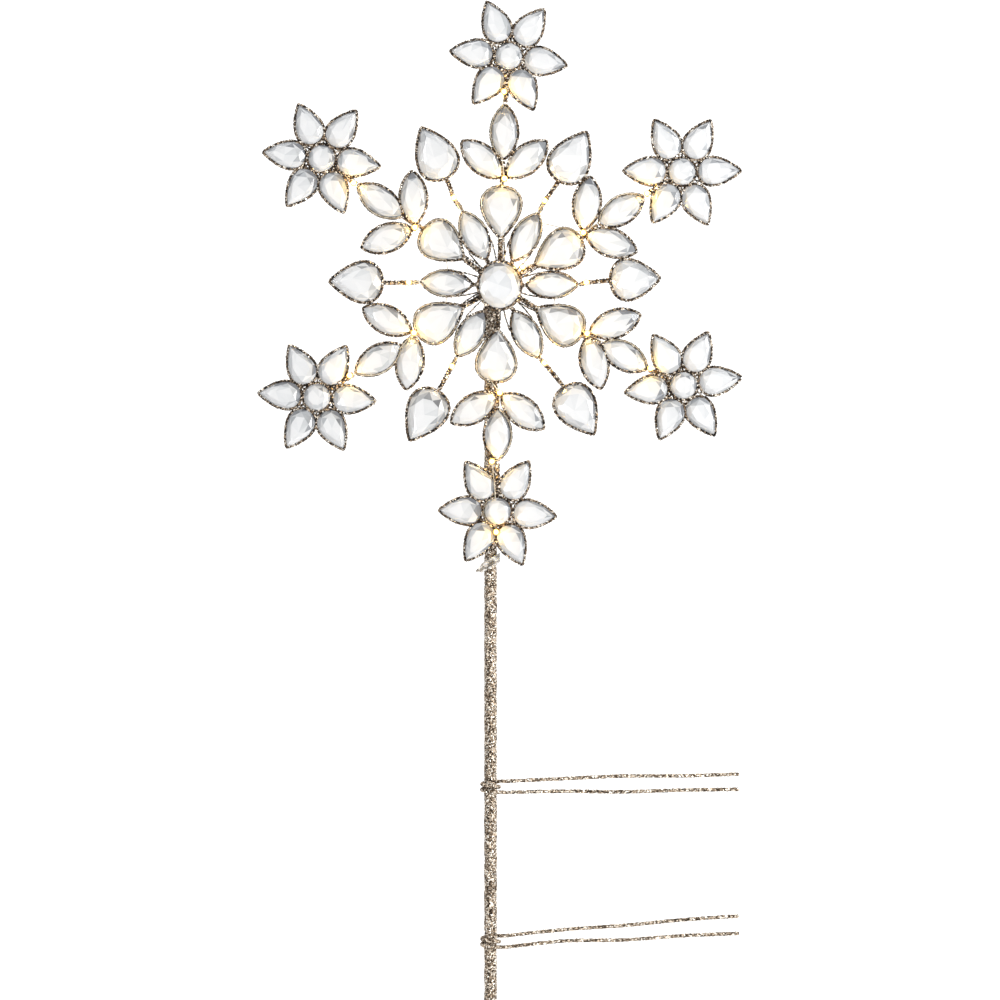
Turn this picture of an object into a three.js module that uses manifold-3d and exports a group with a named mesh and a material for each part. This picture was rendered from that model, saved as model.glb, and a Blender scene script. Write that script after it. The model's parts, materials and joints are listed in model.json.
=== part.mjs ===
// A jewelled snowflake light on a long glittered stem, held by two wire ties.
// Millimetres and degrees. +Z is up, the front faces -Y, and the origin is the centre of the
// stem's flat lower end.
//
// The flake is drawn flat first, in a plane seen from the front: x to the right, y up and z
// toward the viewer. flakeNode() then stands that plane up on the stem.

import * as THREE from 'three'
import { mergeVertices } from 'three/addons/utils/BufferGeometryUtils.js'
import Module from 'manifold-3d'

const solids = await Module()
solids.setup()

// ---- Driving sizes ----
const flakeCentre = { x: 6.5, z: 557.7 }
const clearance = 0.3
const weldDistance = 1e-4

const stemRadius = 4.3
const stemSides = 12
const stemChamfer = 0.8
const stemTop = flakeCentre.z + 4
const coreRadius = 7
const coreBack = -2.5

// Depth levels in the flake's plane, from the stem's axis toward the viewer.
const webBack = 5.9
const webFront = 7.1
const stoneBack = 6.5
const frameBack = 7.4
const frameFront = 10.4
const frameMiddle = (frameBack + frameFront) / 2
const centreLift = frameFront + clearance - frameBack
const coreFront = frameFront - clearance
const stringLevel = 11.2
const beadLevel = 12.3

// Stones with their bezels: length, width, bezel wall, height of the table over the bezel
// and the number of facets round the stone.
const outerPear = { length: 43, width: 31.5, wall: 2, rise: 3.6, sides: 12 }
const innerPear = { length: 40, width: 30.6, wall: 2, rise: 3.6, sides: 12 }
const innerMarquise = { length: 40.5, width: 20.5, wall: 1.8, rise: 2.4, sides: 10 }
const armMarquise = { length: 41.5, width: 21.6, wall: 1.8, rise: 2.4, sides: 10 }
const petal = { length: 33, width: 21.2, wall: 1.6, rise: 2.6, sides: 10 }
const flowerRound = { length: 22.2, width: 22.2, wall: 1.7, rise: 3, sides: 10 }
const centreOval = { length: 36.5, width: 33, wall: 2, rise: 4.6, sides: 14 }
const tableScale = 0.58

const petalStart = 10.1
const webReach = 19
const webWidth = 2.4
const armWire = { width: 2.8, depth: 2.6 }
const twigWire = { width: 3.8, depth: 2.7 }
const wireSides = 6

// Each arm: hub and flower as [radius, heading] from the flake's centre, the inner pear,
// the two side marquises' headings, the end marquise and the headings of the six petals.
const arms = [
  { name: 'upper_right', hub: [70.7, 32.3], pearHeading: 29.8, pearEnds: [27.2, 68.2],
    sides: [82.7, -19.4], endHeading: 31.8, endSpan: [82.4, 122.4], flower: [153.9, 32],
    petals: [1, 61, 118, 179, 240, 296], lamp: [124.2, 32] },
  { name: 'top', hub: [76.4, 87.4], pearHeading: 88.8, pearEnds: [32, 72],
    sides: [138.5, 41.5], endHeading: 88.2, endSpan: [89, 131], flower: [164.3, 87.7],
    petals: [-9, 53, 112, 175, 233, 295], lamp: [138.5, 88.7] },
  { name: 'upper_left', hub: [73.4, 145.6], pearHeading: 143.2, pearEnds: [30.4, 69],
    sides: [200.5, 93], endHeading: 144.6, endSpan: [84, 125.5], flower: [156.6, 144.4],
    petals: [-8, 54, 113, 174, 234, 292], lamp: [127.4, 145] },
  { name: 'lower_left', hub: [70, 209], pearHeading: 210, pearEnds: [28, 69],
    sides: [262, 154], endHeading: 211.2, endSpan: [81, 122], flower: [153.1, 211.4],
    petals: [-4, 60, 118, 176, 239, 297], lamp: [125, 211] },
  { name: 'bottom', hub: [76.7, 270], pearHeading: 267.5, pearEnds: [29.5, 70],
    sides: [321, 211.5], endHeading: 269.2, endSpan: [86.6, 126.6], flower: [161.4, 269.5],
    petals: [-5, 58, 123, 179, 237, 295], lamp: [125.9, 267.5] },
  { name: 'lower_right', hub: [71.3, 331.2], pearHeading: 328.5, pearEnds: [29, 69.5],
    sides: [19.5, 284], endHeading: 330.6, endSpan: [83.2, 122.4], flower: [149.7, 331.5],
    petals: [8, 65, 121, 187, 246, 302], lamp: [123, 331.2] }
]

// Each spoke: headings of its marquise and its pear, the radii between which each one
// lies, and where its lamp sits. Spokes follow the arms round, counterclockwise.
const spokes = [
  { name: 'right', marquiseHeading: 0.9, marquiseSpan: [17.6, 57.2],
    pearHeading: 2.7, pearSpan: [78.4, 117], lamp: [62, 2] },
  { name: 'right_upper', marquiseHeading: 61.8, marquiseSpan: [18.8, 60],
    pearHeading: 60.5, pearSpan: [85, 128.5], lamp: [68.6, 62] },
  { name: 'left_upper', marquiseHeading: 116.4, marquiseSpan: [19.6, 60.6],
    pearHeading: 116.3, pearSpan: [84.8, 128.3], lamp: [70.6, 117.6] },
  { name: 'left', marquiseHeading: 177.4, marquiseSpan: [18.2, 57.6],
    pearHeading: 178.5, pearSpan: [82.8, 123.8], lamp: [65, 178.2] },
  { name: 'left_lower', marquiseHeading: 239, marquiseSpan: [20, 60.2],
    pearHeading: 239.8, pearSpan: [86.3, 130], lamp: [67.1, 239.5] },
  { name: 'right_lower', marquiseHeading: 299, marquiseSpan: [19.4, 60.2],
    pearHeading: 302.4, pearSpan: [85, 128], lamp: [64, 300] }
]

const beadRadius = 1.8
const stringWire = { width: 0.9, depth: 0.9 }
const stringSides = 4
const routeSides = 20
const centreLamp = [21, 38.5]
const lastLamp = [176.3, 269.2]

const strapHeight = 359.2
const strapWidth = 7
const strapTilt = 30
const strapInner = 4.7
const strapOuter = 6
const strapTail = 8

const tieRadius = 1.4
const tieSides = 6
const tieReach = 178.4
const tieTurns = 2
const tieCoilRadius = stemRadius + clearance + tieRadius + 0.1
const tieHingeX = tieCoilRadius + tieRadius + 1.9
const knuckleGap = 0.4
const lugWire = { width: 2.6, depth: 2.6 }

// Each tie: the heights of its two strands at the stem, and how far each strand has risen
// at even steps along its length.
const ties = [
  { name: 'upper', strands: [
    { name: 'a', height: 202.4, rises: [0, 1.9, 3.7, 3.9, 5.1] },
    { name: 'b', height: 194.4, rises: [0, 0.8, 0.4, 1.6, 2.2] }] },
  { name: 'lower', strands: [
    { name: 'a', height: 91.5, rises: [0, 4.4, 7.3, 11.3, 14.2] },
    { name: 'b', height: 83.3, rises: [0, 4.4, 5.1, 8.1, 9.9] }] }
]

// ---- Materials ----
const glitterBrown = () =>
  new THREE.MeshStandardMaterial({ color: 0x988775, roughness: 0.55, metalness: 0.6 })
const clearJewel = () =>
  new THREE.MeshStandardMaterial({ color: 0xe9ebee, roughness: 0.05, metalness: 0.1 })
const warmLamp = () =>
  new THREE.MeshStandardMaterial({
    color: 0xffe9b0, roughness: 0.3, metalness: 0, emissive: 0xffd27a
  })
const clearStrap = () =>
  new THREE.MeshStandardMaterial({ color: 0xcfcac0, roughness: 0.25, metalness: 0 })

// ---- Solids: joining pieces into one closed body ----
function solidOf(geometry) {
  const bare = geometry.clone()
  bare.deleteAttribute('normal')
  bare.deleteAttribute('uv')
  const welded = mergeVertices(bare, weldDistance)
  return new solids.Manifold(new solids.Mesh({
    numProp: 3,
    vertProperties: welded.attributes.position.array,
    triVerts: new Uint32Array(welded.index.array)
  }))
}

function joined(geometries) {
  const body = geometries.map(solidOf).reduce((whole, piece) => whole.add(piece))
  const mesh = body.getMesh()
  const geometry = new THREE.BufferGeometry()
  const corners = new THREE.BufferAttribute(new Float32Array(mesh.vertProperties), 3)
  geometry.setAttribute('position', corners)
  geometry.setIndex(new THREE.BufferAttribute(new Uint32Array(mesh.triVerts), 1))
  geometry.computeVertexNormals()
  return geometry
}

// ---- Points and outlines in the flake's plane ----
const radians = THREE.MathUtils.degToRad

function polar(radius, heading) {
  return new THREE.Vector2(Math.cos(radians(heading)), Math.sin(radians(heading)))
    .multiplyScalar(radius)
}

function raised(point, level) {
  return new THREE.Vector3(point.x, point.y, level)
}

// A pear: a point at the +x end, a round at the -x end.
function pearOutline(stone) {
  const fullest = 0.77
  return Array.from({ length: stone.sides }, (_, i) => {
    const turn = 2 * Math.PI * i / stone.sides
    return new THREE.Vector2(
      stone.length / 2 * Math.cos(turn),
      stone.width / 2 * Math.sin(turn) * Math.sin(turn / 2) / fullest
    )
  })
}

// A marquise: two equal arcs that meet in a point at each end.
function marquiseOutline(stone) {
  const half = stone.length / 2
  const sag = stone.width / 2
  const arcRadius = (half * half + sag * sag) / (2 * sag)
  const halfAngle = Math.asin(half / arcRadius)
  const perArc = stone.sides / 2
  return Array.from({ length: stone.sides }, (_, i) => {
    const lower = i >= perArc ? -1 : 1
    const along = halfAngle * (1 - 2 * (i % perArc) / perArc) * lower
    return new THREE.Vector2(
      arcRadius * Math.sin(along),
      lower * (arcRadius * Math.cos(along) - arcRadius + sag)
    )
  })
}

function ovalOutline(stone) {
  return Array.from({ length: stone.sides }, (_, i) => {
    const turn = 2 * Math.PI * (i + 0.5) / stone.sides
    return new THREE.Vector2(
      stone.length / 2 * Math.cos(turn),
      stone.width / 2 * Math.sin(turn)
    )
  })
}

// The same convex outline with every edge moved in by the same distance.
function inset(outline, distance) {
  const count = outline.length
  return outline.map((corner, i) => {
    const before = corner.clone().sub(outline[(i + count - 1) % count]).normalize()
    const after = outline[(i + 1) % count].clone().sub(corner).normalize()
    const inBefore = new THREE.Vector2(-before.y, before.x)
    const inAfter = new THREE.Vector2(-after.y, after.x)
    const across = inBefore.clone().add(inAfter)
    const reach = distance / across.normalize().dot(inBefore)
    return corner.clone().addScaledVector(across, reach)
  })
}

// ---- Shapes in the flake's plane ----
function bezel(outline, wall, back = frameBack, front = frameFront) {
  const shape = new THREE.Shape(outline)
  shape.holes.push(new THREE.Path(inset(outline, wall)))
  return new THREE.ExtrudeGeometry(shape, { depth: front - back, bevelEnabled: false })
    .translate(0, 0, back)
}

// Rings of corners joined one above the next, closed by a flat face at each end.
function lofted(rings) {
  const corners = []
  const count = rings[0].length
  const face = (...points) => points.forEach(p => corners.push(p.x, p.y, p.z))
  for (let level = 0; level + 1 < rings.length; level++) {
    for (let i = 0; i < count; i++) {
      const next = (i + 1) % count
      const low = rings[level]
      const high = rings[level + 1]
      face(low[i], low[next], high[next])
      face(low[i], high[next], high[i])
    }
  }
  const top = rings[rings.length - 1]
  for (let i = 1; i + 1 < count; i++) {
    face(rings[0][0], rings[0][i + 1], rings[0][i])
    face(top[0], top[i], top[i + 1])
  }
  const geometry = new THREE.BufferGeometry()
  geometry.setAttribute('position', new THREE.Float32BufferAttribute(corners, 3))
  geometry.computeVertexNormals()
  return geometry
}

// A flat-backed faceted stone that fills its bezel, with a smaller flat table in front.
function stoneIn(outline, stone, back = stoneBack) {
  const girdle = inset(outline, stone.wall + clearance)
  const table = girdle.map(corner => corner.clone().multiplyScalar(tableScale))
  return lofted([
    girdle.map(corner => raised(corner, back)),
    table.map(corner => raised(corner, frameFront + stone.rise))
  ])
}

function sectionOf(width, depth, sides) {
  const turns = Array.from({ length: sides }, (_, i) => 2 * Math.PI * (i + 0.5) / sides)
  return new THREE.Shape(turns.map(turn =>
    new THREE.Vector2(depth / 2 * Math.cos(turn), width / 2 * Math.sin(turn))))
}

function wire(points, size, steps, sides = wireSides) {
  const extrudePath = points.length === 2
    ? new THREE.LineCurve3(...points)
    : new THREE.CatmullRomCurve3(points)
  return new THREE.ExtrudeGeometry(sectionOf(size.width, size.depth, sides),
    { steps, extrudePath, bevelEnabled: false })
}

function flatWire(from, to, size = armWire, level = frameMiddle) {
  return wire([raised(from, level), raised(to, level)], size, 1)
}

// Lays a shape drawn along +x onto the line from one point to another.
function laid(geometry, from, to) {
  const middle = from.clone().add(to).multiplyScalar(0.5)
  return geometry
    .rotateZ(to.clone().sub(from).angle())
    .translate(middle.x, middle.y, 0)
}

function between(from, to, share) {
  return from.clone().lerp(to, share)
}

// ---- The flake's pieces ----
const group = new THREE.Group()

function addNode(name, geometry, material) {
  const mesh = new THREE.Mesh(geometry, material)
  mesh.name = name
  group.add(mesh)
  return mesh
}

function flakeNode(name, geometry, material) {
  const mesh = addNode(name, geometry, material)
  mesh.rotation.x = Math.PI / 2
  mesh.position.set(flakeCentre.x, 0, flakeCentre.z)
}

function sized(stone, from, to) {
  return { ...stone, length: from.distanceTo(to) }
}

// One stone and its bezel between two points.
function setting(makeOutline, stone, from, to) {
  const outline = makeOutline(sized(stone, from, to))
  return {
    bezel: laid(bezel(outline, stone.wall), from, to),
    jewel: laid(stoneIn(outline, stone), from, to)
  }
}

// A clear moulded bar behind the bezels, which ties two stones of one set together.
function webBar(from, to) {
  const bar = new THREE.BoxGeometry(from.distanceTo(to), webWidth, webFront - webBack)
  return laid(bar.translate(0, 0, (webBack + webFront) / 2), from, to)
}

// A clear moulded six-sided plate behind a flower, with a corner behind each petal.
function flowerWeb(centre, heading) {
  return new THREE.CylinderGeometry(webReach, webReach, webFront - webBack, 6)
    .rotateX(Math.PI / 2)
    .rotateZ(radians(heading - 30))
    .translate(centre.x, centre.y, (webBack + webFront) / 2)
}

function addArm(arm) {
  const hub = polar(...arm.hub)
  const core = polar(coreRadius + clearance, arm.pearHeading)
  const pearTip = polar(arm.pearEnds[0], arm.pearHeading)
  const pearEnd = polar(arm.pearEnds[1], arm.pearHeading)
  const pear = setting(pearOutline, innerPear, pearEnd, pearTip)

  const sideSettings = arm.sides.map(heading => {
    const start = hub.clone().add(polar(0.6, heading))
    const end = hub.clone().add(polar(0.6 + armMarquise.length, heading))
    return { start, end, ...setting(marquiseOutline, armMarquise, start, end) }
  })
  const endStart = polar(arm.endSpan[0], arm.endHeading)
  const endEnd = polar(arm.endSpan[1], arm.endHeading)
  const endSetting = setting(marquiseOutline, armMarquise, endStart, endEnd)

  const intoPear = between(pearEnd, pearTip, 0.03)
  const intoEnd = between(endStart, endEnd, 0.03)
  flakeNode(`arm_frame_${arm.name}`, joined([
    pear.bezel,
    ...sideSettings.map(side => side.bezel),
    endSetting.bezel,
    flatWire(core, between(pearTip, pearEnd, 0.05)),
    flatWire(intoPear, hub),
    flatWire(hub, intoEnd)
  ]), glitterBrown())
  flakeNode(`inner_pear_jewel_${arm.name}`, pear.jewel, clearJewel())

  const share = 0.35
  flakeNode(`arm_marquise_jewels_${arm.name}`, joined([
    ...sideSettings.map(side => side.jewel),
    endSetting.jewel,
    ...sideSettings.map(side => webBar(hub, between(side.start, side.end, share))),
    webBar(hub, between(endStart, endEnd, share))
  ]), clearJewel())

  addFlower(arm, endEnd)
}

function addFlower(arm, armEnd) {
  const centre = polar(...arm.flower)
  const outline = ovalOutline(flowerRound)
  const settings = arm.petals.map(heading => setting(pearOutline, petal,
    centre.clone().add(polar(petalStart, heading)),
    centre.clone().add(polar(petalStart + petal.length, heading))))
  const inward = armEnd.clone().sub(centre).normalize()
  const entryStart = armEnd.clone().addScaledVector(inward, -clearance * 2)
  const entryEnd = centre.clone().addScaledVector(inward, flowerRound.length / 2 - 0.6)
  flakeNode(`flower_frame_${arm.name}`, joined([
    bezel(outline, flowerRound.wall).translate(centre.x, centre.y, 0),
    ...settings.map(set => set.bezel),
    flatWire(entryStart, entryEnd)
  ]), glitterBrown())
  flakeNode(`flower_jewels_${arm.name}`, joined([
    stoneIn(outline, flowerRound).translate(centre.x, centre.y, 0),
    ...settings.map(set => set.jewel),
    flowerWeb(centre, arm.petals[0])
  ]), clearJewel())
}

function addSpoke(spoke) {
  const core = polar(coreRadius + clearance, spoke.marquiseHeading)
  const [start, end] = spoke.marquiseSpan.map(r => polar(r, spoke.marquiseHeading))
  const [pearEnd, pearTip] = spoke.pearSpan.map(r => polar(r, spoke.pearHeading))
  const marquise = setting(marquiseOutline, innerMarquise, start, end)
  const pear = setting(pearOutline, outerPear, pearEnd, pearTip)
  const twig = [
    between(end, start, 0.03),
    polar(...spoke.lamp),
    between(pearEnd, pearTip, 0.03)
  ].map(point => raised(point, frameMiddle))
  flakeNode(`spoke_frame_${spoke.name}`, joined([
    marquise.bezel,
    pear.bezel,
    flatWire(core, between(start, end, 0.03)),
    wire(twig, twigWire, 3)
  ]), glitterBrown())
  flakeNode(`inner_marquise_jewel_${spoke.name}`, marquise.jewel, clearJewel())
  flakeNode(`outer_pear_jewel_${spoke.name}`, pear.jewel, clearJewel())
}

// The round stone at the middle stands one bezel's depth in front of the others.
function addCentre() {
  const outline = ovalOutline(centreOval)
  const upright = geometry => geometry.rotateZ(Math.PI / 2).translate(0, 0, centreLift)
  flakeNode('centre_bezel', upright(bezel(outline, centreOval.wall)), glitterBrown())
  const stone = stoneIn(outline, centreOval, frameBack)
  flakeNode('centre_jewel', upright(stone), clearJewel())
}

// ---- The lamp string ----
// One thin wire runs round the flake from hub to spoke to hub, with a branch along each
// arm's end marquise. Its beads lie on the front of the frames.
function stringRun(points, steps) {
  return wire(points.map(p => raised(p, stringLevel)), stringWire, steps, stringSides)
}

function bead(point) {
  return new THREE.IcosahedronGeometry(beadRadius, 0).translate(point.x, point.y, beadLevel)
}

// The middle line of one side of a bezel, from its start to its end.
function alongBezel(makeOutline, stone, from, to, side) {
  const direction = to.clone().sub(from)
  const middle = from.clone().lerp(to, 0.5)
  return inset(makeOutline(sized(stone, from, to)), stone.wall / 2)
    .filter(corner => corner.y * side > 0.5)
    .sort((a, b) => a.x - b.x)
    .map(corner => corner.rotateAround(new THREE.Vector2(), direction.angle()).add(middle))
}

// The wire from an arm's hub to a spoke's lamp lies on the inner pear's bezel as far as the
// spoke's marquise, and then follows that marquise outward.
function hubToSpoke(arm, spoke, side) {
  const [tip, end] = arm.pearEnds.map(r => polar(r, arm.pearHeading))
  const [start, stop] = spoke.marquiseSpan.map(r => polar(r, spoke.marquiseHeading))
  const pear = alongBezel(pearOutline, { ...innerPear, sides: routeSides }, end, tip, side)
  const marquise = alongBezel(marquiseOutline, { ...innerMarquise, sides: routeSides },
    start, stop, side)
  let nearest = Infinity
  let crossing = []
  pear.forEach((from, i) => marquise.forEach((to, j) => {
    const gap = from.distanceTo(to)
    if (gap < nearest) {
      nearest = gap
      crossing = [...pear.slice(0, i + 1), ...marquise.slice(j)]
    }
  }))
  return stringRun([polar(...arm.hub), ...crossing, polar(...spoke.lamp)], 9)
}

function armBranch(arm) {
  const [from, to] = arm.endSpan.map(r => polar(r, arm.endHeading))
  const edge = alongBezel(marquiseOutline, armMarquise, from, to, 1)
  return stringRun([polar(...arm.hub), ...edge, polar(...arm.lamp)], 6)
}

function addString() {
  const runs = []
  arms.forEach((arm, i) => {
    runs.push(armBranch(arm))
    const next = arms[(i + 1) % arms.length]
    const spoke = spokes[(i + 1) % spokes.length]
    runs.push(hubToSpoke(arm, spoke, -1))
    if (next !== arms[0]) runs.push(hubToSpoke(next, spoke, 1))
  })
  const first = arms[0]
  const [tip, end] = first.pearEnds.map(r => polar(r, first.pearHeading))
  const pearEdge = alongBezel(pearOutline, innerPear, end, tip, -1)
  runs.push(stringRun([polar(...first.hub), ...pearEdge, polar(...centreLamp)], 7))
  const low = arms.find(arm => arm.name === 'bottom')
  const flower = polar(...low.flower)
  const round = [100, 140, 180, 220, 260].map(heading =>
    flower.clone().add(polar(flowerRound.length / 2 - flowerRound.wall / 2, heading)))
  runs.push(stringRun([polar(...low.lamp), ...round, polar(...lastLamp)], 7))

  const lamps = [
    ...arms.flatMap(arm => [arm.hub, arm.lamp]),
    ...spokes.map(spoke => spoke.lamp),
    centreLamp,
    lastLamp
  ].map(place => polar(...place))
  flakeNode('lamp_string', joined([...runs, ...lamps.map(bead)]), warmLamp())
}

// ---- The stem and what is wrapped round it ----
function addStem() {
  const profile = [
    [0, 0],
    [stemRadius - stemChamfer, 0],
    [stemRadius, stemChamfer],
    [stemRadius, stemTop - stemChamfer],
    [stemRadius - stemChamfer, stemTop],
    [0, stemTop]
  ].map(([x, y]) => new THREE.Vector2(x, y))
  const rod = new THREE.LatheGeometry(profile, stemSides).rotateX(Math.PI / 2)
  const coreDepth = coreFront - coreBack
  const core = new THREE.CylinderGeometry(coreRadius, coreRadius, coreDepth, stemSides)
    .translate(flakeCentre.x, -(coreBack + coreDepth / 2), flakeCentre.z)
  addNode('stem', joined([rod, core]), glitterBrown())
}

// A band round the stem that leans up to the right, with its tail at the lower left.
function addStrap() {
  const ring = new THREE.Shape().absarc(0, 0, strapOuter, 0, 2 * Math.PI)
  ring.holes.push(new THREE.Path().absarc(0, 0, strapInner, 0, 2 * Math.PI))
  const band = new THREE.ExtrudeGeometry(ring,
    { depth: strapWidth, curveSegments: 8, bevelEnabled: false })
    .translate(0, 0, -strapWidth / 2)
  const wall = strapOuter - strapInner
  const tail = new THREE.BoxGeometry(strapTail, wall, strapWidth * 0.8)
    .translate(-strapOuter - strapTail / 2 + 3.6, wall / 2 - strapOuter, 0)
  const lean = new THREE.Matrix4().makeShear(0, Math.tan(radians(strapTilt)), 0, 0, 0, 0)
  const mesh = addNode('cable_tie', joined([band, tail]).applyMatrix4(lean), clearStrap())
  mesh.position.z = strapHeight
}

// A helix round the stem from one height to another, which starts and ends on its right.
class Coil extends THREE.Curve {
  constructor(radius, from, to, turns) {
    super()
    Object.assign(this, { radius, from, to, turns })
  }

  getPoint(share, target = new THREE.Vector3()) {
    const turn = 2 * Math.PI * this.turns * share
    const height = THREE.MathUtils.lerp(this.from, this.to, share)
    return target.set(this.radius * Math.cos(turn), this.radius * Math.sin(turn), height)
  }
}

function addTie(tie) {
  const [upper, lower] = tie.strands
  const coil = new Coil(tieCoilRadius, upper.height, lower.height, tieTurns)
  const section = sectionOf(2 * tieRadius, 2 * tieRadius, tieSides)
  const wound = new THREE.ExtrudeGeometry(section,
    { steps: 24, extrudePath: coil, bevelEnabled: false })
  const lugs = tie.strands.flatMap(({ height }) => {
    const root = new THREE.Vector3(tieCoilRadius, 0, height)
    const hinge = new THREE.Vector3(tieHingeX, 0, height)
    const knuckle = new THREE.CylinderGeometry(tieRadius, tieRadius, 2 * tieRadius, 8)
      .rotateX(Math.PI / 2)
      .translate(tieHingeX, 0, height)
    return [wire([root, hinge], lugWire, 1), knuckle]
  })
  addNode(`tie_coil_${tie.name}`, joined([wound, ...lugs]), glitterBrown())
  for (const strand of tie.strands) {
    const start = tieHingeX + tieRadius + knuckleGap
    const points = strand.rises.map((rise, i) => new THREE.Vector3(
      THREE.MathUtils.lerp(start, tieReach, i / (strand.rises.length - 1)),
      0,
      strand.height + rise
    ))
    const extrudePath = new THREE.CatmullRomCurve3(points)
    addNode(`tie_strand_${tie.name}_${strand.name}`, new THREE.ExtrudeGeometry(section,
      { steps: 12, extrudePath, bevelEnabled: false }), glitterBrown())
  }
}

addStem()
addCentre()
arms.forEach(addArm)
spokes.forEach(addSpoke)
addString()
addStrap()
ties.forEach(addTie)

export default group
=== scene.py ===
import json
import math
import random

import bpy
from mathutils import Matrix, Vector, noise


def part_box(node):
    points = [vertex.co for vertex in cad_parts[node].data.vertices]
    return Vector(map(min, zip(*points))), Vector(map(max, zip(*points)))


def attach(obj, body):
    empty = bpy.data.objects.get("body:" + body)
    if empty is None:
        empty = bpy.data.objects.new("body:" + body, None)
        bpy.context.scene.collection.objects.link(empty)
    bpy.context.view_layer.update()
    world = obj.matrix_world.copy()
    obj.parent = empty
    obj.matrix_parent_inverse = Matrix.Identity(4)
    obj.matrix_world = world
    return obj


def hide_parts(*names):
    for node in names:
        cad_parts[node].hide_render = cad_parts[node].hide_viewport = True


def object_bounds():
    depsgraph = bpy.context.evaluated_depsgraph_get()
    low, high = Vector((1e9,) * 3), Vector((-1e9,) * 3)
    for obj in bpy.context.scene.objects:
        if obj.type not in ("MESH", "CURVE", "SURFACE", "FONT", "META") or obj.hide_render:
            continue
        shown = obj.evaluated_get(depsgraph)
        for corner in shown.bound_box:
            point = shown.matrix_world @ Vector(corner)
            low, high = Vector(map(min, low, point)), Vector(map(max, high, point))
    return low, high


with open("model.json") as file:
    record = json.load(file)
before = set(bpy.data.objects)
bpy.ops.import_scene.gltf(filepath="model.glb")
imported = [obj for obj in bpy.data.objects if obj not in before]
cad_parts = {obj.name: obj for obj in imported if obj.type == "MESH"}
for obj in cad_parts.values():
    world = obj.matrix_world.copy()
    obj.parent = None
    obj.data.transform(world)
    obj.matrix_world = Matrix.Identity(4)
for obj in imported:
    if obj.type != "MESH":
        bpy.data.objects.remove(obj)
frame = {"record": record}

cad_low, cad_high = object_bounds()
MM = 0.001
random.seed(7)

# ---- Places taken from the frame ----
jewel_low, jewel_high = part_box("centre_jewel")
CENTRE = (jewel_low + jewel_high) / 2
frame_low, frame_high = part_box("spoke_frame_left")
FRONT = -frame_low.y / MM
BACK = -frame_high.y / MM
MIDDLE = (FRONT + BACK) / 2
stem_low, stem_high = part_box("stem")
STEM_RADIUS = -stem_low.x / MM
STEM_TOP = stem_high.z / MM
FLOOR = stem_low.z

# ---- Sizes, in millimetres and degrees ----
# Stones: length and width outside the bezel, the bezel's wall, the table's height over the
# bezel and the number of main facets round the stone.
OUTER_PEAR = dict(kind="pear", length=43, width=31.5, wall=2.05, rise=3.4, facets=10)
INNER_PEAR = dict(kind="pear", length=40, width=30.6, wall=2.05, rise=3.4, facets=10)
INNER_MARQUISE = dict(kind="marquise", length=40.5, width=20.5, wall=1.9, rise=2.2, facets=8)
ARM_MARQUISE = dict(kind="marquise", length=41.5, width=21.6, wall=1.9, rise=2.2, facets=8)
PETAL = dict(kind="pear", length=34, width=22.2, wall=1.8, rise=2.4, facets=8)
FLOWER_ROUND = dict(kind="oval", length=22.2, width=22.2, wall=1.9, rise=2.8, facets=9)
CENTRE_OVAL = dict(kind="oval", length=36.5, width=33, wall=2.2, rise=4.4, facets=10)
CENTRE_LIFT = 3.3
STONE_BACK = 6.5

# How far from the core's middle, a hub's and a flower's the wires or stones round it start
CORE_EDGE = 7.3
SIDE_START = 0.6
PETAL_START = 10.1

# A stone's rings: the foil's flat back, the ring between main and star facets, and the table, as
# shares of the outline. The girdle lies between two levels, counted from the bezel's middle.
BACK_TABLE = 0.55
MID_RING = 0.85
TABLE = 0.62
MID_UNEVEN = 0.045
TABLE_UNEVEN = 0.05
TABLE_DRIFT = 0.1
UNEVEN_LEVEL = 4
GIRDLE_INSET = 0.7
GIRDLE_LOW, GIRDLE_HIGH = -0.5, 0.7
SHOULDER = 0.68
PEAR_DRIFT = 0.03
# How much greyer a stone's upper right facets are: a painted shade.
SHADED_SIDE = 0.52

# A pear's outline: the highest value of its curve, and how its point is blunted.
PEAR_PEAK = 0.77
BLUNT = 0.12
BLUNT_REACH = 3.2

# Glittered wire: the step of its grain, and a bezel's section of two twisted lobes.
GRAIN = 0.85
GLITTER_DEPTH = 0.22
FLAKE_TILT = 0.9
END_SHARE = 0.6
BEZEL_POINTS = 48
BEZEL_STEP = 0.75
BEZEL_TWIST = 2.3
BEZEL_LOBE = 0.14
BEZEL_SIDES = 10
BEZEL_ACROSS = 0.56
BEZEL_DEEP = 0.52
TIP_ROUNDING = 0.6

# Radii of the wires, and the length in which two strands go once round each other.
ROPE = 1.15
TWIG = 1.0
END_ROPE = 0.95
JOINT_WIRE = 0.75
LOOSE_WIRE = 0.55
STRAND_OFFSET = 0.95
PITCH = 9.0
SPOKE_PITCH = 6
TIGHT_PITCH = 5

# How far wires run on over the pieces that they join
ROPE_LAP = 2
WIRE_LAP = 1
ARM_LAP = 0.4
JOINT_LAP = 0.8
HUB_BACK, HUB_REACH = 2.5, 3

# Loose wires: how far each lies beside an arm's rope at three places, and beside a spoke the
# radius and the turn away from the spoke at three places.
ROOT_LOOSE = (2.4, 2.9, 2.2)
SPOKE_LOOSE = ((15.5, 20), (24.5, 18), (33, 16.3))

# The joints between a flower's petals
JOINT_MIDDLE = 13.6
JOINT_END = 15.5
JOINT_SPREAD = 0.55
JOINT_SINK = 0.3

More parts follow.
